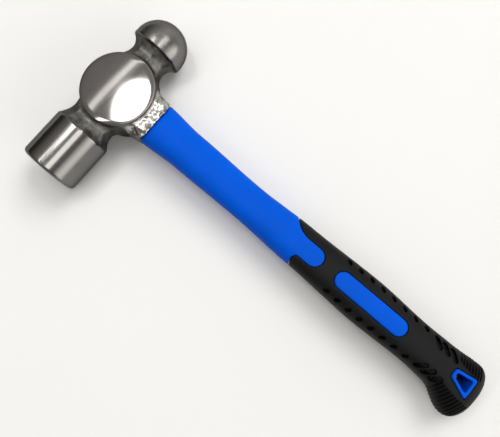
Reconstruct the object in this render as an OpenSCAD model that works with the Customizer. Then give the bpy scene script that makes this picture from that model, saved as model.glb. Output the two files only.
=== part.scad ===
// Ball peen hammer: a forged steel head on a fibreglass-cored handle with a rubber grip.
// It lies on its side. +X runs along the handle to the butt, +Y from the striking face to the
// ball, +Z up off the bench. Every piece is drawn about the point where the axis of the head
// crosses the axis of the handle, and place() then puts the origin at the centre of the base.

/* [Poll] */
// Diameter of the striking poll
poll_d = 38; // [35:0.5:40]
// Distance from the handle axis to the striking face
poll_face = 66; // [62:0.5:70]
// Distance from the handle axis to the sharp back edge of the poll
poll_back = 33; // [31:0.5:36]
// Radius that rounds the edge of the striking face
poll_edge_r = 2; // [1:0.25:3]
// Fall of the striking face from its flat middle to its rounded edge
poll_crown = 0.4; // [0.2:0.1:1]
// Width of the poll's neck across its eight flats
poll_neck_w = 28; // [25:0.5:30]

/* [Ball] */
// Diameter of the ball peen
ball_d = 36; // [33:0.5:38]
// Distance from the handle axis to the rim where the ball begins
ball_rim = 35.5; // [34:0.5:38]
// Length of the straight band between the rim and the dome
ball_band = 3.2; // [2:0.2:5]
// Width of the ball's neck across its eight flats
ball_neck_w = 24; // [21:0.5:27]

/* [Eye boss] */
// Diameter of the upper ground cheek
cheek_d = 47; // [44:0.5:50]
// Diameter of the lower ground cheek
under_cheek_d = 41; // [39:0.5:46]
// Half of the thickness over the rims of the two cheeks
cheek_half = 17.2; // [16:0.1:18]
// Height of the crown on each cheek
cheek_crown = 0.5; // [0.2:0.1:1]
// How far the boss is set from the head axis towards the handle
boss_shift = 5; // [3:0.5:6]
// Size of the eye along the head axis
eye_l = 26; // [23:0.5:28]
// Size of the eye across the cheeks
eye_w = 19; // [18:0.5:20]
// Thickness of the resin all round the tenon
bond_gap = 0.8; // [0.4:0.1:1.2]

/* [Handle] */
// Distance from the head axis to the mouth of the eye, on the broad faces
mouth = 36; // [35:0.5:38]
// How much further back the mouth is at the sides, where it is hollowed
mouth_hollow = 4; // [2:0.5:5]
// Distance from the head axis to the end of the butt
butt_end = 281; // [279:0.5:284]
// Diameter of the fibreglass core
core_d = 14; // [11:0.5:14.5]
// Distance from the head axis to the inner end of the core
core_end = 250; // [200:1:254]
// Thickness of the rubber grip
grip_t = 2.4; // [1.6:0.1:2.6]

/* [Grip details] */
// Length of the jacket window that shows through the grip
window_l = 50; // [40:1:52]
// Width of that window
window_w = 10.4; // [8:0.2:11]
// Distance from the head axis to the tip of the jacket tongue
tongue_tip = 167; // [160:1:170]
// Width of the tongue
tongue_w = 11.5; // [8:0.5:12]
// Number of short finger slots in each row
dimples = 8; // [3:1:8]
// Distance from one short slot to the next
dimple_pitch = 8.1; // [6:0.1:8.1]

/* [Hidden] */

poll_r = poll_d / 2;
face_land_r = 11;                // the middle of the striking face is ground flat
ball_r = ball_d / 2;
ball_centre = ball_rim + ball_band;
cheek_r = cheek_d / 2;
under_cheek_r = under_cheek_d / 2;
wall_inset = 0.7;                // the forged wall stands just inside the ground cheeks
boss_half = cheek_half - 1.4;    // height of that wall on each side
flat_ratio = cos(180 / 8);       // an octagon's flat distance over its corner distance
core_start = -10;                // the core and the tenon end below the pool of resin
pool_top = -13;                  // top of the resin in the mouth of the eye
inf = 60;                        // reach of the cutting prisms
shoulder = mouth - mouth_hollow; // where the handle starts, at its sides
mouth_half = 11.6;               // half thickness of the handle at the mouth
mouth_r = (pow(mouth_half, 2) + pow(mouth_hollow, 2)) / (2 * mouth_hollow);

// Low end of the object along the handle and its middle on each axis, for the move to the base
x_low = boss_shift - cheek_r;
x_mid = (x_low + butt_end) / 2;
y_mid = (ball_centre + ball_r - poll_face) / 2;

// Handle stations: distance from the head axis, sideways shift, half width, half thickness
stations = [
    [shoulder - 1, 0.2, 14.6, mouth_half],
    [60, 0.1, 12.7, 10.4],
    [110, -0.2, 11.8, 9.8],
    [150, 0, 13.1, 11.2],
    [200, -0.1, 14.4, 12.8],
    [238, -0.2, 12.9, 11.8],
    [252, -0.4, 13.3, 12.2],
    [271, -3.6, 17.8, 14],
    [butt_end + 5, -3.6, 17.8, 14],
];
section_power = 2.4;    // 2 is an ellipse, more is squarer
butt_power = 2.3;
butt_round = 271;       // the end of the butt rounds off from here
sides = 32;

window_mid = 202.6;
window_y = -0.4;
dimple_first = 179;
long_slots = 3;
long_slot_first = 245;
long_slot_pitch = 5.35;

// Finger slots: angle round the handle, half length along it, half turn round it, radius
short_slot = [42, 0.5, 3, 1.4];
long_slot = [54, 2.2, 12, 1.4];

// Hang hole: a trapezoid that widens towards the butt, in a blue rim
hole_narrow = [262, 0, 1.4];      // place along the handle, middle, half width
hole_wide = [271.3, -1.2, 4.2];
rim_w = 1.8;
hole_corner = 0.8;

function ease(t) = t * t * (3 - 2 * t);
function step_at(x) = max([for (i = [0 : len(stations) - 2]) stations[i][0] <= x ? i : 0]);
function station(x, column) =
    let (i = step_at(x), a = stations[i], b = stations[i + 1])
    a[column] + (b[column] - a[column]) * ease((x - a[0]) / (b[0] - a[0]));
function end_scale(x, last) =
    x <= butt_round ? 1
    : pow(1 - pow((x - butt_round) / (last - butt_round), butt_power), 1 / butt_power);
function bulge(v) = sign(v) * pow(abs(v), 2 / section_power);

// A point on the handle's surface, raised by grow: a is 0 on the ball side and 90 on top
function skin(x, a, grow = 0, last = butt_end) = [
    x,
    station(x, 1) + (station(x, 2) + grow) * end_scale(x, last) * bulge(cos(a)),
    (station(x, 3) + grow) * end_scale(x, last) * bulge(sin(a)),
];

module place() {
    translate([-x_mid, -y_mid, poll_r]) children();
}

// Turns a shape drawn along +Z so that it points along the head, to the ball or to the poll
module to_ball() {
    rotate([-90, 0, 0]) children();
}

module to_poll() {
    rotate([90, 0, 0]) children();
}

// A shape drawn in plan and cut right through the handle
module through() {
    translate([0, 0, -inf / 2]) linear_extrude(inf) children();
}

// An outline drawn across the handle, pushed along it from x = from to x = to
module along(from, to) {
    translate([from, 0, 0]) rotate([90, 0, 90]) linear_extrude(to - from) children();
}

module stadium(length, width) {
    straight = length - width;
    square([straight, width], center = true);
    for (side = [-1, 1]) translate([side * straight / 2, 0]) circle(d = width, $fn = 64);
}

// ---- head ----

module poll() {
    edge_y = poll_face - poll_crown - poll_edge_r;
    to_poll() rotate_extrude($fn = 96) {
        polygon([
            [0, poll_back],
            [poll_r, poll_back],
            [poll_r, edge_y],
            [poll_r - poll_edge_r, edge_y + poll_edge_r],
            [face_land_r, poll_face],
            [0, poll_face],
        ]);
        translate([poll_r - poll_edge_r, edge_y]) circle(poll_edge_r, $fn = 48);
    }
}

// Eight-sided forged neck that flares in a hollow curve at both ends
module neck(width, near, far, near_w, far_w) {
    steps = 6;
    waist = 0.55 * far + 0.45 * near;
    function flare(t) = 1 - sqrt(1 - t * t);
    rotate([0, 0, 22.5]) rotate_extrude($fn = 8) polygon(concat(
        [[0, near]],
        [for (i = [steps : -1 : 1]) let (t = i / steps)
            [(width + (near_w - width) * flare(t)) / 2 / flat_ratio, waist + (near - waist) * t]],
        [for (i = [0 : steps]) let (t = i / steps)
            [(width + (far_w - width) * flare(t)) / 2 / flat_ratio, waist + (far - waist) * t]],
        [[0, far]]));
}

module ball() {
    to_ball() {
        translate([0, 0, ball_centre]) sphere(ball_r, $fn = 96);
        translate([0, 0, ball_rim]) cylinder(r = ball_r, h = ball_band, $fn = 96);
        translate([0, 0, ball_rim - 4]) cylinder(r1 = ball_r - 5.5, r2 = ball_r - 1, h = 4, $fn = 96);
    }
}

// A crowned plate ground on one side of the boss
module cheek(r) {
    crown_r = (pow(r, 2) + pow(cheek_crown, 2)) / (2 * cheek_crown);
    intersection() {
        translate([0, 0, cheek_half + cheek_crown - crown_r]) sphere(crown_r, $fn = 128);
        translate([0, 0, boss_half]) cylinder(r = r, h = cheek_half + cheek_crown - boss_half, $fn = 96);
    }
}

// Forged wall of the boss, straight above the middle and tapered below it, and its two cheeks
module boss() {
    cheek_overlap = 0.5;
    wall_h = boss_half + cheek_overlap;
    wall_r = cheek_r - wall_inset;
    translate([boss_shift, 0, 0]) {
        cylinder(r = wall_r, h = wall_h, $fn = 96);
        translate([0, 0, -wall_h])
            cylinder(r1 = under_cheek_r - wall_inset, r2 = wall_r, h = wall_h, $fn = 96);
        cheek(cheek_r);
        mirror([0, 0, 1]) cheek(under_cheek_r);
    }
}

// The round-backed space that the shoulder of the handle fills in the mouth of the eye
module mouth_space() {
    translate([shoulder + mouth_r, 0, 0]) rotate([90, 0, 0])
        cylinder(r = mouth_r, h = inf, center = true, $fn = 128);
}

// Skirt that carries the eye down to the shoulder of the handle
module skirt() {
    plan = [[4, 19, 14.6], [20, 16.6, 13.4], [mouth, 14, 12.4]];
    corner = 6;
    difference() {
        for (i = [0 : 1]) hull() for (s = [plan[i], plan[i + 1]])
            translate([s[0] - (s[0] == mouth ? 0.5 : 0), 0, 0]) rotate([90, 0, 90]) linear_extrude(0.5)
                for (y = [-1, 1], z = [-1, 1])
                    translate([y * (s[1] - corner), z * (s[2] - corner)]) circle(corner, $fn = 32);
        mouth_space();
    }
}

module head() {
    color("dimgray") place() difference() {
        union() {
            poll();
            to_poll() neck(poll_neck_w, 14, poll_back + 1, 31, poll_d - 2);
            boss();
            skirt();
            to_ball() neck(ball_neck_w, 14, ball_rim - 1, 30, ball_d - 7);
            ball();
        }
        along(-inf, inf) stadium(eye_l, eye_w);
    }
}

// ---- handle ----

// The whole handle as one smooth form, grown or shrunk by grow
module handle_form(start, grow = 0) {
    last = butt_end + grow;
    step = 8;
    count = ceil((butt_round - start) / step);
    xs = concat(
        [for (i = [0 : count - 1]) start + (butt_round - start) * i / count],
        [for (a = [0 : 15 : 75]) butt_round + (last - butt_round) * sin(a)],
        [butt_round + (last - butt_round) * sin(85)]);
    rings = len(xs);
    points = [for (x = xs, k = [0 : sides - 1]) skin(x, 360 * k / sides, grow, last)];
    function at(i, k) = i * sides + k % sides;
    polyhedron(points, concat(
        [[for (k = [0 : sides - 1]) at(0, k)]],
        [[for (k = [sides - 1 : -1 : 0]) at(rings - 1, k)]],
        [for (i = [0 : rings - 2], k = [0 : sides - 1]) [at(i, k), at(i + 1, k), at(i + 1, k + 1)]],
        [for (i = [0 : rings - 2], k = [0 : sides - 1]) [at(i, k), at(i + 1, k + 1), at(i, k + 1)]]));
}

// Plan of the bare shaft and of the tongue that runs into the grip
module tongue_plan() {
    half = tongue_w / 2;
    tongue_y = -0.4;
    ball_arc = 17;
    poll_arc = 3.5;
    square_end = 153;
    difference() {
        translate([0, -inf / 2]) square([square_end, inf]);
        translate([square_end, tongue_y + half + ball_arc]) circle(ball_arc, $fn = 96);
        translate([square_end + 1.3, tongue_y - half - poll_arc]) circle(poll_arc, $fn = 48);
        translate([square_end - 2.2, tongue_y - half - poll_arc]) rotate(-70) square([inf, inf / 3]);
        translate([square_end - 17, tongue_y + half + ball_arc]) square(inf);
    }
    hull() {
        translate([tongue_tip - half, tongue_y]) circle(half, $fn = 48);
        translate([square_end - 5, tongue_y - half]) square([1, tongue_w]);
    }
}

module trapezoid(grow) {
    r = hole_corner + grow;
    hull() for (p = [hole_narrow, hole_wide], side = [-1, 1])
        translate([p[0] + (p == hole_narrow ? 1 : -1) * hole_corner,
                   p[1] + side * (p[2] - hole_corner)]) circle(r, $fn = 24);
}

// Everything that the jacket fills: the shaft, the tongue, the windows, the rim of the hang hole
// and the form under the grip
module jacket_space() {
    through() tongue_plan();
    through() translate([window_mid, window_y]) stadium(window_l, window_w);
    through() trapezoid(rim_w);
    handle_form(120, -grip_t);
}

// Room for the shoulder and for the rest of the handle, whose end is rounded to fit the mouth
module shoulder_space() {
    mouth_space();
    along(mouth + 1, butt_end + 1) square(inf, center = true);
}

module core_space() {
    along(core_start, core_end) circle(d = core_d, $fn = 64);
}

// Tenon in the eye, with raised rings that key it into the resin
module tenon() {
    ring_pitch = 6;
    ring_h = 0.4;
    tenon_l = eye_l - 2 * bond_gap;
    tenon_w = eye_w - 2 * bond_gap;
    along(core_start, mouth) stadium(tenon_l, tenon_w);
    for (x = [core_start + 3 : ring_pitch : shoulder - 4]) hull() for (side = [-1, 1])
        translate([x, side * (tenon_l - tenon_w) / 2, 0]) rotate([0, 90, 0])
            cylinder(d = tenon_w + 2 * ring_h, h = 1.6, center = true, $fn = 48);
}

module jacket() {
    color("royalblue") place() union() {
        difference() {
            union() {
                intersection() {
                    handle_form(shoulder);
                    jacket_space();
                    shoulder_space();
                }
                tenon();
            }
            through() trapezoid(0);
            core_space();
        }
    }
}

module core_rod() {
    chamfer = 0.8;
    color("khaki") place() translate([core_start, 0, 0]) rotate([0, 90, 0]) union() {
        translate([0, 0, chamfer])
            cylinder(d = core_d, h = core_end - core_start - 2 * chamfer, $fn = 64);
        cylinder(d1 = core_d - 2 * chamfer, d2 = core_d, h = chamfer, $fn = 64);
        translate([0, 0, core_end - core_start - chamfer])
            cylinder(d1 = core_d, d2 = core_d - 2 * chamfer, h = chamfer, $fn = 64);
    }
}

module eye_resin() {
    color("black") place() difference() {
        along(pool_top, mouth) stadium(eye_l, eye_w);
        mouth_space();
        tenon();
        core_space();
    }
}

// A slanted finger slot at the place x along the handle, on the ball side (side = 1) or the poll
// side (side = -1), and on the top (face = 1) or the underside (face = -1)
module slot(x, form, side, face) {
    hull() for (end = [-1, 1]) {
        p = skin(x + end * form[1], form[0] + end * form[2]);
        shift = station(p[0], 1);
        translate([p[0], shift + side * (p[1] - shift), face * p[2]]) sphere(form[3], $fn = 8);
    }
}

module finger_slots() {
    for (side = [-1, 1], face = [-1, 1]) {
        for (i = [0 : dimples - 1]) slot(dimple_first + i * dimple_pitch, short_slot, side, face);
        for (i = [0 : long_slots - 1])
            slot(long_slot_first + i * long_slot_pitch, long_slot, side, face);
    }
}

module grip() {
    color("black") place() union() {
        difference() {
            handle_form(120);
            jacket_space();
            finger_slots();
        }
    }
}

head();
core_rod();
jacket();
eye_resin();
grip();
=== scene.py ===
"""The look of a ball peen hammer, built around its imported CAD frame.

The forged head, the jacket, the rubber grip and the resin in the eye are each described as a
signed distance field: below zero inside the piece, in millimetres. A dual contouring mesher turns
each field into a mesh that keeps its sharp edges. Fields work in the hammer's own directions,
+X along the handle to the butt, +Y from the striking face to the ball and +Z up, measured from
the point where the head's axis crosses the handle's axis.
"""

import math

import bpy
import numpy as np
from mathutils import Matrix, Quaternion, Vector


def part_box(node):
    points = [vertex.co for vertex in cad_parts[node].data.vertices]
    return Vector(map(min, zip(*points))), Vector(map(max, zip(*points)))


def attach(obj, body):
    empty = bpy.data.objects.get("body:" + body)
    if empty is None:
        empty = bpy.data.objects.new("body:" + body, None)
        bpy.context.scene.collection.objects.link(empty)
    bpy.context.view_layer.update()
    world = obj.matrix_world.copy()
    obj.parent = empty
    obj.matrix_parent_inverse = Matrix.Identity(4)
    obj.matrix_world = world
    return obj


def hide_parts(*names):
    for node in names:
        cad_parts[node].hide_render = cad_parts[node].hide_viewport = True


MM = 0.001

# Poll and ball: distances along the head are from the handle's axis
POLL_R = 19.0
POLL_BACK = 33.0
POLL_BACK_R = 1.0            # rounding of the poll's sharp back edge
POLL_FACE = 66.0
POLL_EDGE_R = 2.0
POLL_CROWN = 0.4             # fall of the striking face from its flat middle to its edge
FACE_LAND_R = 11.0
BALL_R = 18.0
BALL_RIM = 35.5
BALL_RIM_R = 0.9
BALL_CENTRE = 38.7
BALL_UNDERCUT = 0.27         # slope of the face under the ball's rim

# Necks: half width at the waist, and how much the half width grows at the far end
POLL_NECK_HALF = 14.0
POLL_NECK_WAIST = 23.5
POLL_NECK_FLARE = 3.6
BALL_NECK_HALF = 12.0
BALL_NECK_WAIST = 28.8
BALL_NECK_FLARE = 3.2
NECK_SOFT = 0.9              # softening of the eight corners
NECK_SLOPE = 0.95            # keeps the field near true distance on the flared ends

# Eye boss
BOSS_X = 5.0
BOSS_R = 22.6
UNDER_BOSS_R = 19.8
BOSS_HALF = 15.6
BOSS_EDGE_R = 1.0
CHEEK_R = 23.5
UNDER_CHEEK_R = 20.5
CHEEK_HALF = 17.2
CHEEK_CROWN = 0.5
CHEEK_EDGE_R = 0.7
CHEEK_FLAT_W = 3.2           # the belt rolls over the edge of the cheek within this width
CHEEK_ROLL = 0.25
EYE_HALF_Y = 13.0
EYE_HALF_Z = 9.5
MOUTH = 36.0                 # the mouth of the eye, on the broad faces
SHOULDER = 32.0              # and at its hollowed sides
MOUTH_R = 18.82
LIP_R = 0.6                  # rounding of the eye's edges

# Skin of the forging: the fillets between its masses, and the depth of its uneven surface
SKIRT_FILLET = 3.0
NECK_FILLET = 4.5
FORGED_DEPTH = 0.09
CAST_DEPTH = 0.45

# Handle stations: distance from the head axis, sideways shift, half width, half thickness
STATIONS = np.array([
    [31.0, 0.2, 14.6, 11.6],
    [60.0, 0.1, 12.7, 10.4],
    [110.0, -0.2, 11.8, 9.8],
    [150.0, 0.0, 13.1, 11.2],
    [200.0, -0.1, 14.4, 12.8],
    [238.0, -0.2, 12.9, 11.8],
    [252.0, -0.4, 13.3, 12.2],
    [271.0, -3.6, 17.8, 14.0],
    [290.0, -3.6, 17.8, 14.0],
])
SECTION_POWER = 2.4
BUTT_POWER = 2.3
BUTT_ROUND = 271.0
BUTT_END = 280.95
CORE_START = -10.0
BOND_GAP = 0.8               # thickness of the resin round the tenon
POOL_TOP = -13.0
GRIP_T = 2.4
UNDER_GRIP_START = 135.0     # where the jacket's form under the rubber begins
SEAM = 0.32                  # gap between the rubber and the blue edges that it meets

# The blue plan: the tongue that runs into the grip, the window and the hang hole
TONGUE_Y = -0.4
TONGUE_HALF = 5.75
TONGUE_TIP = 167.0
SQUARE_END = 153.0
BALL_ARC_R = 17.0            # hollow arc beside the tongue, on the ball side
POLL_ARC_R = 3.5             # and on the poll side
WINDOW = (202.6, -0.4, 19.8, 5.2)        # middle, sideways, half of the straight part, radius
WINDOW_PROUD = 0.25          # height of the window over the rubber
HOLE = [(262.0, -1.4), (271.3, -5.4), (271.3, 3.0), (262.0, 1.4)]
HOLE_SOFT = 1.6
RIM_W = 1.8
RIM_PROUD = 0.35             # height of the hang hole's rim over the rubber
SEAM_EDGE_R = 0.6            # rounding of the edges along the seams

# Finger slots: angle round the handle, half length along it, half turn round it, radius
SHORT_PLACES = [179 + 8.1 * i for i in range(8)]
SHORT_SLOT = (42, 0.5, 3, 1.4)
LONG_PLACES = [245 + 5.35 * i for i in range(3)]
LONG_SLOT = (54, 2.1, 11, 1.5)
SLOT_DEPTH = 2.0

# Ribs round the butt: each side's start and end are (x where they begin, x where they are full)
RIB_PITCH = 2.0
RIB_DEPTH = 0.9
RIB_FIRST = 263.0
RIB_LEAN = 0.28              # how far they lean to the head, per millimetre across
BALL_RIBS = ((261.6, 262.2), (277.4, 276.8))
POLL_RIBS = ((259.6, 260.2), (279.4, 278.8))


# ---- mesher ----

SLAB = 24                    # grid layers worked out at a time
FLAT_SHARE = 0.1             # a direction this weak beside the strongest counts as flat
PULL_LIMIT = 0.05


def evaluate(field, points):
    return field(points[:, 0], points[:, 1], points[:, 2])


def gradient(field, points):
    """Unit slope of the field at each point."""
    step = 0.01
    columns = []
    for axis in range(3):
        shift = np.zeros(3)
        shift[axis] = step
        columns.append(evaluate(field, points + shift) - evaluate(field, points - shift))
    slope = np.stack(columns, 1) / (2 * step)
    return slope / np.maximum(np.linalg.norm(slope, axis=1, keepdims=True), 1e-9)


def sample_grid(field, axes):
    """The field's values at every grid point."""
    xs, ys, zs = axes
    slabs = [field(xs[i:i + SLAB, None, None], ys[None, :, None], zs[None, None, :])
             for i in range(0, len(xs), SLAB)]
    return np.concatenate([np.broadcast_to(s, (s.shape[0], len(ys), len(zs))) for s in slabs])


def crossings(field, axes, grid, axis):
    """Grid edges along one axis that the surface crosses: their lower ends, whether the lower end
    is inside, and the crossing points."""
    low = [slice(None)] * 3
    high = [slice(None)] * 3
    low[axis], high[axis] = slice(None, -1), slice(1, None)
    inside = grid < 0
    index = np.argwhere(inside[tuple(low)] != inside[tuple(high)])
    start = np.stack([axes[k][index[:, k]] for k in range(3)], 1)
    span = axes[axis][index[:, axis] + 1] - start[:, axis]
    beyond = index.copy()
    beyond[:, axis] += 1
    near, far = np.zeros(len(index)), np.ones(len(index))
    at_near, at_far = grid[tuple(index.T)].copy(), grid[tuple(beyond.T)].copy()
    lower_inside = at_near < 0
    for _ in range(4):
        share = np.clip(at_near / (at_near - at_far), 0.03, 0.97)
        t = near + (far - near) * share
        points = start.copy()
        points[:, axis] += t * span
        value = evaluate(field, points)
        same = (value < 0) == lower_inside
        near, at_near = np.where(same, t, near), np.where(same, value, at_near)
        far, at_far = np.where(same, far, t), np.where(same, at_far, value)
    t = near + (far - near) * at_near / (at_near - at_far)
    points = start.copy()
    points[:, axis] += t * span
    return index, lower_inside, points


def cells_round(index, axis, shape):
    """The four cells round each crossed edge, in turning order about +axis."""
    u, v = (axis + 1) % 3, (axis + 2) % 3
    around = []
    for du, dv in ((-1, -1), (0, -1), (0, 0), (-1, 0)):
        cell = index.copy()
        cell[:, u] += du
        cell[:, v] += dv
        around.append(np.ravel_multi_index(tuple(cell.T), shape))
    return np.stack(around, 1)


def dual_contour(field, axes):
    """Vertices and quads of the zero surface of the field."""
    grid = sample_grid(field, axes)
    cells, planes, points = [], [], []
    for axis in range(3):
        index, lower_inside, crossing = crossings(field, axes, grid, axis)
        quad = cells_round(index, axis, grid.shape)
        quad[~lower_inside] = quad[~lower_inside][:, ::-1]
        cells.append(quad)
        points.append(crossing)
        planes.append(gradient(field, crossing))
    cells, points, planes = np.concatenate(cells), np.concatenate(points), np.concatenate(planes)
    used, corner = np.unique(cells, return_inverse=True)
    corner = corner.reshape(-1)
    return solve_cells(field, axes, grid.shape, used, corner, points, planes), corner.reshape(-1, 4)


def solve_cells(field, axes, shape, used, corner, points, planes):
    """One point per cell, where the tangent planes of its crossings meet best."""
    def gather(values):
        return np.bincount(corner, weights=np.repeat(values, 4), minlength=len(used))

    count = gather(np.ones(len(points)))
    centre = np.stack([gather(points[:, k]) for k in range(3)], 1) / count[:, None]
    reach = np.einsum("ij,ij->i", planes, points)
    matrix = np.zeros((len(used), 3, 3))
    target = np.zeros((len(used), 3))
    for a in range(3):
        target[:, a] = gather(planes[:, a] * reach)
        for b in range(3):
            matrix[:, a, b] = gather(planes[:, a] * planes[:, b])
    target -= np.einsum("nab,nb->na", matrix, centre)
    values, vectors = np.linalg.eigh(matrix)
    weak = values < FLAT_SHARE * values[:, 2:]
    inverse = np.where(weak, 0, 1 / np.where(weak, 1, values))
    turned = np.einsum("nba,nb->na", vectors, target) * inverse
    best = centre + np.einsum("nab,nb->na", vectors, turned)
    cell = np.stack(np.unravel_index(used, shape), 1)
    low = np.stack([axes[k][cell[:, k]] for k in range(3)], 1)
    high = np.stack([axes[k][cell[:, k] + 1] for k in range(3)], 1)
    best = np.clip(best, low, high)
    pull = np.clip(evaluate(field, best), -PULL_LIMIT, PULL_LIMIT)
    return best - gradient(field, best) * pull[:, None]


def stepped(*stops):
    """Grid places from (place, spacing) stops: each spacing holds up to the next place."""
    parts = []
    for (start, step), (end, _) in zip(stops, stops[1:]):
        count = max(1, round((end - start) / step))
        parts.append(np.linspace(start, end, count, endpoint=False))
    return np.append(np.concatenate(parts), stops[-1][0])


def make_piece(name, field, axes, origin, sharp_deg, marks=None):
    """A mesh object of the field's surface, with optional vertex attributes from marks."""
    vertices, quads = dual_contour(field, axes)
    mesh = bpy.data.meshes.new(name)
    mesh.from_pydata((vertices * MM + np.array(origin)).tolist(), [], quads.tolist())
    mesh.shade_smooth()
    mesh.set_sharp_from_angle(angle=math.radians(sharp_deg))
    for mark, function in (marks or {}).items():
        values = evaluate(function, vertices).astype(np.float32)
        mesh.attributes.new(mark, "FLOAT", "POINT").data.foreach_set("value", values)
    piece = bpy.data.objects.new(name, mesh)
    bpy.context.scene.collection.objects.link(piece)
    return piece


# ---- field tools ----

def soft_min(a, b, reach):
    """Union of two fields with a hollow fillet."""
    near = np.maximum(reach - np.abs(a - b), 0) / reach
    return np.minimum(a, b) - near * near * reach / 4


def soft_max(a, b, reach):
    """Intersection of two fields with a softened corner."""
    return -soft_min(-a, -b, reach)


def round_max(a, b, radius):
    """Intersection of two fields, its outer edge rounded to the radius."""
    return np.minimum(np.maximum(a, b), -radius) + np.hypot(
        np.maximum(a + radius, 0), np.maximum(b + radius, 0))


def smooth(low, high, value):
    """0 where the value is at low or beyond, easing to 1 at high."""
    t = np.clip((value - low) / (high - low), 0, 1)
    return t * t * (3 - 2 * t)


def lumps(x, y, z, size, seed):
    """Smooth irregular waves of about that size, between about -1 and 1."""
    chance = np.random.default_rng(seed)
    total = 0.0
    for _ in range(9):
        direction = chance.normal(size=3)
        direction *= chance.uniform(0.7, 1.4) * 2 * math.pi / size / np.linalg.norm(direction)
        turn = chance.uniform(0, 2 * math.pi)
        total = total + np.sin(direction[0] * x + direction[1] * y + direction[2] * z + turn)
    return total / 4


def convex(x, y, corners, soft):
    """Plan distance to a convex outline, whose corners run anticlockwise."""
    worst = None
    for (ax, ay), (bx, by) in zip(corners, corners[1:] + corners[:1]):
        length = math.hypot(bx - ax, by - ay)
        side = ((x - ax) * (by - ay) - (y - ay) * (bx - ax)) / length
        worst = side if worst is None else soft_max(worst, side, soft)
    return worst


# ---- head ----

def poll(x, y, z):
    out = np.hypot(x, z)
    fall = (out - FACE_LAND_R) / (POLL_R - POLL_EDGE_R - FACE_LAND_R)
    face = -y - POLL_FACE + POLL_CROWN * np.maximum(fall, 0) ** 2
    body = round_max(out - POLL_R, face, POLL_EDGE_R)
    return round_max(body, y + POLL_BACK, POLL_BACK_R)


def ball(x, y, z):
    out = np.hypot(x, z)
    dome = np.hypot(out, np.maximum(y - BALL_CENTRE, 0)) - BALL_R
    underside = BALL_RIM - BALL_UNDERCUT * (BALL_R - out) - y
    return round_max(dome, underside, BALL_RIM_R)


def eight_sided(x, z):
    """Distance from the axis to the side of an octagon through the point, corners softened."""
    a, b = np.abs(x), np.abs(z)
    return soft_max(soft_max(a, b, NECK_SOFT), (a + b) * math.sqrt(0.5), NECK_SOFT)


def poll_neck(x, y, z):
    """Neck from the boss to the poll. It flares fully to the poll and slightly to the boss."""
    along = (-y - POLL_NECK_WAIST) / 9.5
    to_boss = np.minimum(1.6 * along ** 2, 1.5)
    flare = np.where(along > 0, POLL_NECK_FLARE * along ** 2, to_boss)
    body = NECK_SLOPE * (eight_sided(x, z) - POLL_NECK_HALF - flare)
    return np.maximum(body, np.abs(y + 21) - 12.4)


def ball_neck(x, y, z):
    """Neck from the boss to the ball, with a sharper flare under the ball."""
    along = y - BALL_NECK_WAIST
    to_ball = BALL_NECK_FLARE * (np.abs(along) / 5.9) ** 1.6
    to_boss = np.minimum(2 * (along / 7.8) ** 2, 3)
    flare = np.where(along > 0, to_ball, to_boss)
    body = NECK_SLOPE * (eight_sided(x, z) - BALL_NECK_HALF - flare)
    return np.maximum(body, np.abs(y - 22) - 13.2)


def boss(x, y, z):
    """The forged wall between the cheeks, straight above the middle and tapered below it."""
    wall = BOSS_R - (BOSS_R - UNDER_BOSS_R) * np.clip(-z / BOSS_HALF, 0, 1)
    return round_max(np.hypot(x - BOSS_X, y) - wall, np.abs(z) - BOSS_HALF, BOSS_EDGE_R)


def cheek_radius(z):
    return np.where(z > 0, CHEEK_R, UNDER_CHEEK_R)


def cheeks(x, y, z):
    """Both crowned plates, which start a little inside the boss."""
    out, up = np.hypot(x - BOSS_X, y), np.abs(z)
    radius = cheek_radius(z)
    roll = np.maximum(out - radius + CHEEK_FLAT_W, 0) / CHEEK_FLAT_W
    top = CHEEK_HALF + CHEEK_CROWN * (1 - (out / radius) ** 2) - CHEEK_ROLL * roll ** 2
    plate = round_max(out - radius, up - top, CHEEK_EDGE_R)
    return np.maximum(plate, BOSS_HALF - 0.8 - up)


def mouth_space(x, z):
    """The round-backed space that the handle's shoulder fills."""
    return np.hypot(np.minimum(x - SHOULDER - MOUTH_R, 0), z) - MOUTH_R


def skirt(x, y, z):
    """Tapered box with round corners, from the boss to the mouth of the eye."""
    half_y = np.interp(x, [4, 17, 26, MOUTH], [18.8, 16.6, 15.0, 14.0]) - 0.5 * (y < 0)
    half_z = np.interp(x, [4, 20, MOUTH], [14.6, 13.4, 12.5])
    corner = 6.0
    out_y = np.maximum(np.abs(y) - half_y + corner, 0)
    out_z = np.maximum(np.abs(z) - half_z + corner, 0)
    inside = np.minimum(np.maximum(np.abs(y) - half_y, np.abs(z) - half_z), -corner)
    return np.maximum(np.hypot(out_y, out_z) + inside, -x)


def eye(y, z, grow=0.0):
    """The long round-ended hole through the head, widened by grow."""
    flat = np.maximum(np.abs(y) - (EYE_HALF_Y - EYE_HALF_Z), 0)
    return np.hypot(flat, z) - EYE_HALF_Z - grow


def cast_skin(x, y, z):
    """Height of the rough skin of the skirt, before scaling."""
    return lumps(x, y, z, 7.0, 5) + 0.35 * lumps(x, y, z, 3.2, 8)


def cast_zone(x, y, z):
    """1 on the skirt, whose skin is as cast and tumbled bright, 0 on the rest of the head."""
    beyond_boss = smooth(22.8, 24.2, np.hypot(x - BOSS_X, y))
    return smooth(14, 18, x) * smooth(21, 18, np.abs(y)) * beyond_boss


def silver_zone(x, y, z):
    """1 on the high spots of the cast skin; its crevices stay dark."""
    return cast_zone(x, y, z) * smooth(1.15, 0.55, cast_skin(x, y, z))


def ball_zone(x, y, z):
    """1 on the ball, whose polish is rougher than the poll's."""
    return smooth(34.9, 35.6, y) + 0 * x


def turned_zone(x, y, z):
    """1 on the poll and the ball, which were turned on a lathe."""
    return np.maximum(smooth(-32.8, -33.3, y), ball_zone(x, y, z))


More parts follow.
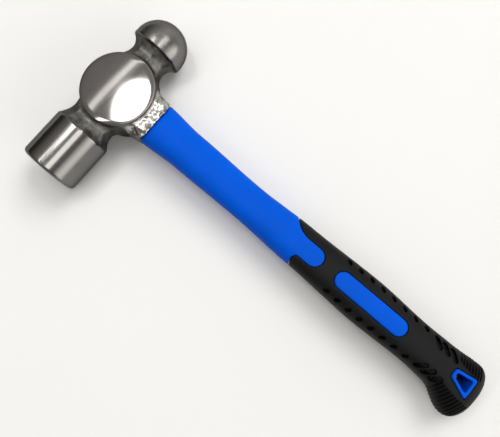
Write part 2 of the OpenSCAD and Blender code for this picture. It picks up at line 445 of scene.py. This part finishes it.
def plate_zone(x, y, z):
    """1 on the cheeks, which were ground on a belt."""
    out = np.hypot(x - BOSS_X, y)
    radius = cheek_radius(z)
    up = np.abs(z)
    wall = smooth(BOSS_HALF - 0.4, BOSS_HALF + 0.2, up) * smooth(radius - 0.8, radius - 0.4, out)
    flat = smooth(CHEEK_HALF - 1.2, CHEEK_HALF - 0.7, up)
    return np.maximum(wall, flat) * (out < radius + 0.1) * (1 - turned_zone(x, y, z))


def head(x, y, z):
    forged = soft_min(boss(x, y, z), skirt(x, y, z), SKIRT_FILLET)
    forged = soft_min(forged, poll_neck(x, y, z), NECK_FILLET)
    forged = soft_min(forged, ball_neck(x, y, z), NECK_FILLET)
    uneven = FORGED_DEPTH * lumps(x, y, z, 5.5, 3)
    zone = cast_zone(x, y, z)
    forged = forged + uneven * (1 - zone) + CAST_DEPTH * cast_skin(x, y, z) * zone
    lip = np.maximum(x - MOUTH, -mouth_space(x, z))
    forged = round_max(forged, lip, LIP_R)
    ground = np.minimum(np.minimum(poll(x, y, z), ball(x, y, z)), cheeks(x, y, z))
    return round_max(np.minimum(forged, ground), -eye(y, z) + 0 * x, LIP_R)


# ---- handle ----

def station(x, column):
    """One measure of the handle at x, eased from each station to the next."""
    places, values = STATIONS[:, 0], STATIONS[:, column]
    i = np.clip(np.searchsorted(places, x, side="right") - 1, 0, len(places) - 2)
    t = np.clip((x - places[i]) / (places[i + 1] - places[i]), 0, 1)
    return values[i] + (values[i + 1] - values[i]) * t * t * (3 - 2 * t)


def handle(x, y, z, grow=0.0):
    """Distance to the whole handle form, grown or shrunk by grow."""
    wide, thick = station(x, 2) + grow, station(x, 3) + grow
    u, v = np.abs(y - station(x, 1)) / wide, np.abs(z) / thick
    p, q = SECTION_POWER, BUTT_POWER
    ring = np.maximum(u ** p + v ** p, 1e-6) ** (1 / p)
    reach = BUTT_END + grow - BUTT_ROUND
    end = np.maximum(x - BUTT_ROUND, 0) / reach
    level = (ring ** q + end ** q) ** (1 / q)
    turn = (ring / level) ** (q - 1) * ring ** (1 - p)
    slope = np.sqrt((turn * u ** (p - 1) / wide) ** 2 + (turn * v ** (p - 1) / thick) ** 2
                    + ((end / level) ** (q - 1) / reach) ** 2)
    return (level - 1) / np.maximum(slope, 0.03)


def tongue_plan(x, y):
    """Plan distance to the bare shaft and the tongue that runs from it into the grip."""
    ball_arc = BALL_ARC_R - np.hypot(x - SQUARE_END, y - TONGUE_Y - TONGUE_HALF - BALL_ARC_R)
    arc_x, arc_y = SQUARE_END + 1.3, TONGUE_Y - TONGUE_HALF - POLL_ARC_R
    poll_arc = POLL_ARC_R - np.hypot(x - arc_x, y - arc_y)
    poll_line = 0.94 * (x - arc_x + POLL_ARC_R) + 0.342 * (y - arc_y)    # it leans 20 degrees
    poll_edge = np.where(y < arc_y, poll_line, poll_arc)
    square = np.maximum(x - SQUARE_END, np.maximum(ball_arc, poll_edge))
    beyond = np.maximum(x - TONGUE_TIP + TONGUE_HALF, 0)
    tongue = np.maximum(np.hypot(beyond, y - TONGUE_Y) - TONGUE_HALF, SQUARE_END - 4 - x)
    return np.minimum(square, tongue)


def window_plan(x, y):
    middle, side, straight, radius = WINDOW
    return np.hypot(np.maximum(np.abs(x - middle) - straight, 0), y - side) - radius


def hole_plan(x, y, grow=0.0):
    return convex(x, y, HOLE, HOLE_SOFT) - grow


def jacket(x, y, z):
    """The shaft with its rounded shoulder, the raised window and hole rim, the form under the
    rubber, and the tenon."""
    skin = handle(x, y, z)
    shaft = round_max(skin, tongue_plan(x, y), 0.35)
    shaft = round_max(shaft, mouth_space(x, z) + 0.15, 1.8)
    pad = round_max(skin - WINDOW_PROUD, window_plan(x, y), SEAM_EDGE_R)
    rim = round_max(skin - RIM_PROUD, hole_plan(x, y, RIM_W), SEAM_EDGE_R)
    inner = np.maximum(handle(x, y, z, -GRIP_T), UNDER_GRIP_START - x)
    tenon = np.maximum(eye(y, z, -BOND_GAP) + 0 * x, np.maximum(CORE_START - x, x - MOUTH))
    whole = np.minimum(np.minimum(np.minimum(shaft, pad), np.minimum(rim, inner)), tenon)
    return round_max(whole, -hole_plan(x, y) + 0 * z, 0.5)


def slot_ends(places, form):
    """Both ends of each finger slot, on the ball side of the top face."""
    angle, reach, turn, _ = form
    power = 2 / SECTION_POWER
    ends = []
    for side in (-1, 1):
        x = np.array(places) + side * reach
        bearing = math.radians(angle + side * turn)
        wide = station(x, 2) * math.cos(bearing) ** power
        ends.append(np.stack([x, wide, station(x, 3) * math.sin(bearing) ** power], 1))
    return ends


def slots(x, y, z, skin, places, form):
    """Distance to the nearest blind slot of a row, which repeats on both sides and both faces."""
    starts, ends = slot_ends(places, form)
    nearest = np.round((x - places[0]) / (places[1] - places[0]))
    across, up = np.abs(y - station(x, 1)), np.abs(z)
    apart2 = np.inf
    for neighbour in (-1, 0, 1):
        i = np.clip(nearest + neighbour, 0, len(places) - 1).astype(int)
        from_start = [x - starts[i, 0], across - starts[i, 1], up - starts[i, 2]]
        run = [ends[i, k] - starts[i, k] for k in range(3)]
        t = sum(a * b for a, b in zip(from_start, run)) / sum(r * r for r in run)
        t = np.clip(t, 0, 1)
        apart2 = np.minimum(apart2, sum((a - t * b) ** 2 for a, b in zip(from_start, run)))
    beside = np.sqrt(np.maximum(apart2 - skin ** 2, 0)) - form[3]
    return round_max(beside, -skin - SLOT_DEPTH, 0.4)


def ribs(x, y):
    """Depth of the fine grooves that run round both sides of the butt."""
    side = y - station(x, 1)
    lean = x + RIB_LEAN * np.abs(side)
    wave = 0.5 + 0.5 * np.cos(2 * math.pi * (lean - RIB_FIRST) / RIB_PITCH)
    on_ball_side, on_poll_side = smooth(8.8, 9.4, side), smooth(-6.4, -7.0, side)
    for begin, full in BALL_RIBS:
        on_ball_side = on_ball_side * smooth(begin, full, lean)
    for begin, full in POLL_RIBS:
        on_poll_side = on_poll_side * smooth(begin, full, lean)
    return RIB_DEPTH * wave * np.maximum(on_ball_side, on_poll_side)


def grip(x, y, z):
    """The rubber over the jacket, cut back by the seam from every blue edge."""
    plain = handle(x, y, z)
    short = slots(x, y, z, plain, SHORT_PLACES, SHORT_SLOT)
    long = slots(x, y, z, plain, LONG_PLACES, LONG_SLOT)
    skin = soft_max(plain + ribs(x, y), -np.minimum(short, long), 0.4)
    skin = round_max(skin, SEAM - tongue_plan(x, y), SEAM_EDGE_R)
    skin = round_max(skin, SEAM - window_plan(x, y), SEAM_EDGE_R)
    skin = round_max(skin, SEAM - hole_plan(x, y, RIM_W), SEAM_EDGE_R)
    return np.maximum(skin, -handle(x, y, z, -GRIP_T))


def painted_recess_shade(x, y, z):
    """Painted shade: 1 down in the slots and grooves of the rubber, where the colour is painted
    black for the shade that falls in them.
    """
    return smooth(0.2, 0.65, -handle(x, y, z))


def eye_resin(x, y, z):
    """The resin round and over the tenon, a hair clear of the eye and of the shoulder."""
    wall = eye(y, z)
    creep = 0.9 * np.exp(np.minimum(wall, 0) / 1.2)    # the resin climbs a little up the wall
    top = POOL_TOP - creep - x + 0.08 * lumps(x, y, z, 7, 11)
    outside = np.maximum(np.maximum(wall + 0.02, top), 0.2 - mouth_space(x, z))
    return np.maximum(outside, -np.maximum(eye(y, z, -BOND_GAP), CORE_START - x))


# ---- materials ----

def new_material(name):
    material = bpy.data.materials.new(name)
    material.use_nodes = True
    tree = material.node_tree
    return material, tree, tree.nodes["Principled BSDF"]


def feed(tree, socket, value):
    """Links the socket to another node's output, or sets it to a number, a vector or a colour."""
    if isinstance(value, bpy.types.NodeSocket):
        tree.links.new(value, socket)
    elif socket.type == "RGBA":
        socket.default_value = (*value, 1)
    else:
        socket.default_value = value


def add(tree, kind, **inputs):
    """A node with its inputs fed; an underscore in a name stands for a space."""
    node = tree.nodes.new(kind)
    for name, value in inputs.items():
        feed(tree, node.inputs[name.replace("_", " ")], value)
    return node


def noise(tree, scale, detail):
    """Noise from 0 to 1 in object coordinates, with its own scale on each axis."""
    place = add(tree, "ShaderNodeTexCoord")
    mapping = add(tree, "ShaderNodeMapping", Vector=place.outputs["Object"], Scale=scale)
    return add(tree, "ShaderNodeTexNoise", Vector=mapping.outputs["Vector"], Scale=1.0,
               Detail=detail).outputs["Fac"]


def spread(tree, value, low, high):
    """The middle of a noise's range, where nearly all of it lies, mapped to low to high."""
    return add(tree, "ShaderNodeMapRange", Value=value, From_Min=0.3, From_Max=0.7,
               To_Min=low, To_Max=high).outputs["Result"]


def blend_colour(tree, share, first, second):
    node = tree.nodes.new("ShaderNodeMix")
    node.data_type = "RGBA"
    for place, value in ((0, share), (6, first), (7, second)):
        feed(tree, node.inputs[place], value)
    return node.outputs[2]


def blend_value(tree, share, first, second):
    node = tree.nodes.new("ShaderNodeMix")
    for place, value in ((0, share), (2, first), (3, second)):
        feed(tree, node.inputs[place], value)
    return node.outputs[0]


def bump(tree, height, strength, distance):
    return add(tree, "ShaderNodeBump", Height=height, Strength=strength,
               Distance=distance).outputs["Normal"]


def zone(tree, name):
    """The vertex attribute of that name."""
    node = add(tree, "ShaderNodeAttribute")
    node.attribute_name = name
    return node.outputs["Fac"]


def steel_colour(tree, grain, turned, plate, silver):
    """Dark forging scale and silver casting skin, both grained, and bright machined steel."""
    speckle = spread(tree, grain, 0, 1)
    cloud = noise(tree, (60, 60, 60), 3)
    scale_colour = blend_colour(tree, speckle, (0.055, 0.055, 0.05), (0.17, 0.168, 0.155))
    cast_colour = blend_colour(tree, speckle, (0.30, 0.29, 0.275), (0.55, 0.535, 0.51))
    bright = blend_colour(tree, cloud, (0.155, 0.15, 0.144), (0.185, 0.18, 0.174))
    colour = blend_colour(tree, silver, scale_colour, cast_colour)
    colour = blend_colour(tree, turned, colour, bright)
    return blend_colour(tree, plate, colour, bright)


def head_material():
    """Forged steel. Its vertex attributes say where it is turned, ground or bright as cast."""
    material, tree, shader = new_material("head_steel")
    turned, round_end = zone(tree, "turned"), zone(tree, "ball")
    plate, silver = zone(tree, "plate"), zone(tree, "silver")
    grain = noise(tree, (260, 260, 260), 5)
    rings = noise(tree, (14, 4200, 14), 2)          # the lathe's fine rings round the head's axis
    strokes = noise(tree, (3000, 25, 60), 2)        # the belt's scratches along the head
    facets = noise(tree, (300, 60, 300), 1)         # polishing flats on the ball
    rough = blend_value(tree, silver, spread(tree, grain, 0.34, 0.5), 0.18)
    rough = blend_value(tree, turned, rough, spread(tree, rings, 0.13, 0.20))
    rough = blend_value(tree, round_end, rough, spread(tree, grain, 0.2, 0.3))
    rough = blend_value(tree, plate, rough, spread(tree, strokes, 0.05, 0.09))
    height = blend_value(tree, turned, grain, spread(tree, rings, 0, 0.05))
    height = blend_value(tree, round_end, height, spread(tree, facets, 0, 8.0))
    height = blend_value(tree, plate, height, spread(tree, strokes, 0, 0.04))
    colour = steel_colour(tree, grain, turned, plate, silver)
    feed(tree, shader.inputs["Base Color"], colour)
    feed(tree, shader.inputs["Roughness"], rough)
    feed(tree, shader.inputs["Normal"], bump(tree, height, 0.3, 0.00002))
    shader.inputs["Metallic"].default_value = 1.0
    shader.inputs["Specular Tint"].default_value = (0.4, 0.4, 0.4, 1)
    return material


def plastic_material(name, colour, worn, rough, grain, depth, specular=0.25, shade_mark=None):
    """A moulded plastic, rubber or resin with a fine grain and slightly uneven colour and gloss.
    Where the vertex attribute named by its last argument is 1, the colour is painted black as
    painted shade."""
    material, tree, shader = new_material(name)
    fine = noise(tree, (grain, grain, grain), 2)
    broad = noise(tree, (45, 45, 45), 3)
    base = blend_colour(tree, spread(tree, broad, 0, 1), colour, worn)
    if shade_mark:
        # painted shade: the recesses that the attribute marks turn near black
        base = blend_colour(tree, zone(tree, shade_mark), base, (0.0005, 0.0005, 0.0005))
    feed(tree, shader.inputs["Base Color"], base)
    feed(tree, shader.inputs["Roughness"], spread(tree, broad, rough - 0.04, rough + 0.05))
    feed(tree, shader.inputs["Normal"], bump(tree, fine, 0.3, depth))
    shader.inputs["Specular IOR Level"].default_value = specular
    return material


def fibre_material():
    """Glass strands in resin, drawn out along the core."""
    material, tree, shader = new_material("fibreglass")
    strands = noise(tree, (25, 1600, 1600), 4)
    colour = blend_colour(tree, spread(tree, strands, 0, 1), (0.42, 0.36, 0.20), (0.60, 0.55, 0.38))
    feed(tree, shader.inputs["Base Color"], colour)
    feed(tree, shader.inputs["Roughness"], spread(tree, strands, 0.35, 0.55))
    feed(tree, shader.inputs["Normal"], bump(tree, strands, 0.4, 0.00005))
    return material


def floor_material():
    material, tree, shader = new_material("pale_floor")
    cloud = noise(tree, (3, 3, 3), 2)
    colour = blend_colour(tree, cloud, (0.63, 0.637, 0.633), (0.65, 0.657, 0.653))
    feed(tree, shader.inputs["Base Color"], colour)
    shader.inputs["Roughness"].default_value = 0.75
    shader.inputs["Specular IOR Level"].default_value = 0.2
    return material


# ---- stage ----

FLOOR_HALF = 4.0
FLOOR_TOUCHES = ((-0.131, -0.0295, 0.0), (-0.131, 0.0434, 0.001), (0.137, 0.001, 0.0046))

# Brightness of the room by direction: degrees from the upright plane through the head, towards
# the butt, and the level there
ROOM_REACH = 100
ROOM_LEVELS = ((-100, 0.05), (-72, 0.09), (-55, 0.34), (-30, 0.62), (-5, 0.80), (30, 0.40),
               (44, 0.36), (56, 2.0), (68, 3.2), (80, 2.5), (92, 0.4))
ROOM_SIDE_SHARE = 0.7        # how much a direction's sideways part counts against its x
ROOM_TINT = (1.0, 0.965, 0.93)


def make_floor(touches):
    """A wide flat floor through the three points that the hammer rests on: poll, ball and butt."""
    a, b, c = (Vector(t) for t in touches)
    up = (b - a).cross(c - a).normalized()
    up = up if up.z > 0 else -up
    side = up.cross(Vector((1, 0, 0))).normalized()
    along = up.cross(side)
    corners = [a + along * i * FLOOR_HALF + side * j * FLOOR_HALF
               for i, j in ((-1, -1), (1, -1), (1, 1), (-1, 1))]
    mesh = bpy.data.meshes.new("floor")
    mesh.from_pydata([tuple(v) for v in corners], [], [(0, 1, 2, 3)])
    floor = bpy.data.objects.new("floor", mesh)
    bpy.context.scene.collection.objects.link(floor)
    floor.data.materials.append(floor_material())


def make_panel(name, place, target, size, radiance, turn=0.0, shape="RECTANGLE"):
    """A soft, slightly warm light of the given radiance that faces the target, turned in its own
    plane by that many degrees."""
    light = bpy.data.lights.new(name, "AREA")
    light.shape = shape
    light.size, light.size_y = size
    light.energy = radiance * math.pi * size[0] * size[1]
    light.color = (1.0, 0.98, 0.96)
    panel = bpy.data.objects.new(name, light)
    panel.location = place
    aim = Vector(target) - Vector(place)
    spin = Quaternion((0, 0, 1), math.radians(turn))
    panel.rotation_euler = (aim.to_track_quat("-Z", "Y") @ spin).to_euler()
    bpy.context.scene.collection.objects.link(panel)
    return panel


def make_lights():
    """Two narrow strips, a round lamp and a wide ceiling panel that the bright steel mirrors, and
    a key light from the ball side that casts the main shadow and isn't mirrored."""
    make_panel("poll_strip", (-0.71, -0.90, 1.5), (-0.71, -0.90, 0), (0.11, 1.6), 9.0)
    make_panel("cheek_strip", (-0.90, 0.72, 1.5), (-0.90, 0.72, 0), (0.05, 1.6), 3.8)
    make_panel("lamp", (-0.535, 0.12, 1.5), (-0.13, 0.0, 0), (0.42, 0.58), 8.0, -15.0,
               "ELLIPSE")
    ceiling = make_panel("ceiling", (0.34, 0.45, 1.5), (0.34, 0.45, 0), (0.52, 2.8), 4.2)
    ceiling.visible_diffuse = False
    key = make_panel("key", (0.10, 1.1, 1.65), (0, 0, 0), (1.0, 1.0), 7.5)
    key.visible_glossy = False


def angle_to_butt(tree, direction, along):
    """Angle between the direction, whose x part is along, and the upright plane through the head."""
    squeezed = add(tree, "ShaderNodeVectorMath", Vector=direction)
    squeezed.operation = "MULTIPLY"
    squeezed.inputs[1].default_value = (0, ROOM_SIDE_SHARE, 1)
    upward = add(tree, "ShaderNodeVectorMath", Vector=squeezed.outputs["Vector"])
    upward.operation = "LENGTH"
    angle = tree.nodes.new("ShaderNodeMath")
    angle.operation = "ARCTAN2"
    feed(tree, angle.inputs[0], along)
    feed(tree, angle.inputs[1], upward.outputs["Value"])
    return angle.outputs["Value"]


def room_colour(tree, angle):
    """A ramp through the room's levels."""
    share = add(tree, "ShaderNodeMapRange", Value=angle, From_Min=math.radians(-ROOM_REACH),
                From_Max=math.radians(ROOM_REACH))
    ramp = add(tree, "ShaderNodeValToRGB", Fac=share.outputs["Result"])
    steps = ramp.color_ramp.elements
    for degrees, level in ROOM_LEVELS:
        step = steps.new((degrees + ROOM_REACH) / (2 * ROOM_REACH))
        step.color = (*(level * part for part in ROOM_TINT), 1)
    steps.remove(steps[0])
    steps.remove(steps[-1])
    return ramp.outputs["Color"]


def make_world():
    """A room that is dark past the top of the head and bright past the butt, and all of it a
    little brighter on the ball side."""
    world = bpy.data.worlds.new("room")
    bpy.context.scene.world = world
    world.use_nodes = True
    tree = world.node_tree
    background = tree.nodes["Background"]
    direction = add(tree, "ShaderNodeTexCoord").outputs["Generated"]
    parts = add(tree, "ShaderNodeSeparateXYZ", Vector=direction)
    angle = angle_to_butt(tree, direction, parts.outputs["X"])
    lift = add(tree, "ShaderNodeMapRange", Value=parts.outputs["Y"], From_Min=-1.0, To_Min=0.5,
               To_Max=1.5)
    feed(tree, background.inputs["Color"], room_colour(tree, angle))
    feed(tree, background.inputs["Strength"], lift.outputs["Result"])


def make_camera():
    """Looks almost straight down, turned so that the handle runs to the lower right."""
    place = Vector((0.0316, -0.0322, 0.3537))
    looks_at = Vector((-0.0146, -0.0021, 0.0190))
    right = Vector((0.7559, 0.6531, -0.0457))
    forward = (looks_at - place).normalized()
    up = right.cross(forward).normalized()
    right = forward.cross(up).normalized()
    data = bpy.data.cameras.new("camera")
    data.sensor_width = 36.0
    data.lens = 40.16
    data.clip_start = 0.01
    camera = bpy.data.objects.new("camera", data)
    turn = Matrix((right, up, -forward)).transposed().to_4x4()
    camera.matrix_world = Matrix.Translation(place) @ turn
    bpy.context.scene.collection.objects.link(camera)
    bpy.context.scene.camera = camera
    bpy.context.scene.view_settings.view_transform = "Standard"


# ---- build ----

HEAD_SHARP_DEG = 38          # edges that bend more than this are shaded sharp
MOULDED_SHARP_DEG = 45

HEAD_GRID = (
    stepped((-19.1, 0.51), (36.6, 0)),
    stepped((-66.6, 0.45), (-61, 0.9), (-36, 0.51), (57.5, 0)),
    stepped((-19.6, 0.51), (19.6, 0)),
)
JACKET_GRID = (
    stepped((-10.7, 1.1), (30, 0.5), (38, 1.2), (134, 0.5), (168, 1.0), (176, 0.6), (229, 1.2),
            (259, 0.5), (282, 0)),
    stepped((-22.3, 0.5), (16.2, 0)),
    stepped((-15.2, 0.5), (15.2, 0)),
)
GRIP_GRID = (
    stepped((134, 0.72), (174, 0.56), (256, 0.43), (282, 0)),
    stepped((-22.3, 0.51), (16.2, 0)),
    stepped((-15.2, 0.51), (15.2, 0)),
)
RESIN_GRID = (
    stepped((-16.1, 0.6), (-9, 1.2), (37, 0)),
    stepped((-14.2, 0.6), (14.2, 0)),
    stepped((-10.6, 0.6), (10.6, 0)),
)


def axis_crossing():
    """Where the head's axis crosses the handle's, found from the core rod of the frame."""
    low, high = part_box("core_rod")
    return (low.x - CORE_START * MM, (low.y + high.y) / 2, (low.z + high.z) / 2)


def replace_node(piece, node, material):
    """Puts the piece in the place of a CAD node with the given material, and hides the node."""
    piece.data.materials.append(material)
    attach(piece, "root")
    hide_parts(node)


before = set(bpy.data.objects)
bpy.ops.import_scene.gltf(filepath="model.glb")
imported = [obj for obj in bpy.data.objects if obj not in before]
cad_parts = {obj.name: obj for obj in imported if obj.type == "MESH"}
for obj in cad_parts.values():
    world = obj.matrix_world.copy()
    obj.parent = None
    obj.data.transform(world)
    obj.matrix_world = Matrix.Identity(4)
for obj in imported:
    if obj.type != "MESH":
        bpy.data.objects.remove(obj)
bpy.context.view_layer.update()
origin = axis_crossing()

head_zones = {"turned": turned_zone, "ball": ball_zone, "plate": plate_zone, "silver": silver_zone}
forged_head = make_piece("forged_head", head, HEAD_GRID, origin, HEAD_SHARP_DEG, head_zones)
replace_node(forged_head, "head", head_material())

blue = plastic_material("blue_plastic", (0.0, 0.064, 0.46), (0.0, 0.073, 0.52),
                        rough=0.45, grain=1400, depth=0.00004, specular=0.03)
blue_jacket = make_piece("blue_jacket", jacket, JACKET_GRID, origin, MOULDED_SHARP_DEG)
replace_node(blue_jacket, "jacket", blue)

rubber = plastic_material("black_tpr", (0.004, 0.004, 0.0045), (0.006, 0.006, 0.0065),
                          rough=0.5, grain=2200, depth=0.00006, specular=0.09, shade_mark="recess_shade")
# Painted shade: the grip's recess attribute turns its slots and grooves near black.
rubber_grip = make_piece("rubber_grip", grip, GRIP_GRID, origin, MOULDED_SHARP_DEG,
                         {"recess_shade": painted_recess_shade})
replace_node(rubber_grip, "grip", rubber)

resin = plastic_material("black_resin", (0.014, 0.013, 0.012), (0.024, 0.022, 0.020),
                         rough=0.28, grain=500, depth=0.00005)
resin_pool = make_piece("resin_pool", eye_resin, RESIN_GRID, origin, MOULDED_SHARP_DEG)
replace_node(resin_pool, "eye_resin", resin)

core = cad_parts["core_rod"]
core.data.materials.clear()
core.data.materials.append(fibre_material())

make_floor(FLOOR_TOUCHES)
make_lights()
make_world()
make_camera()
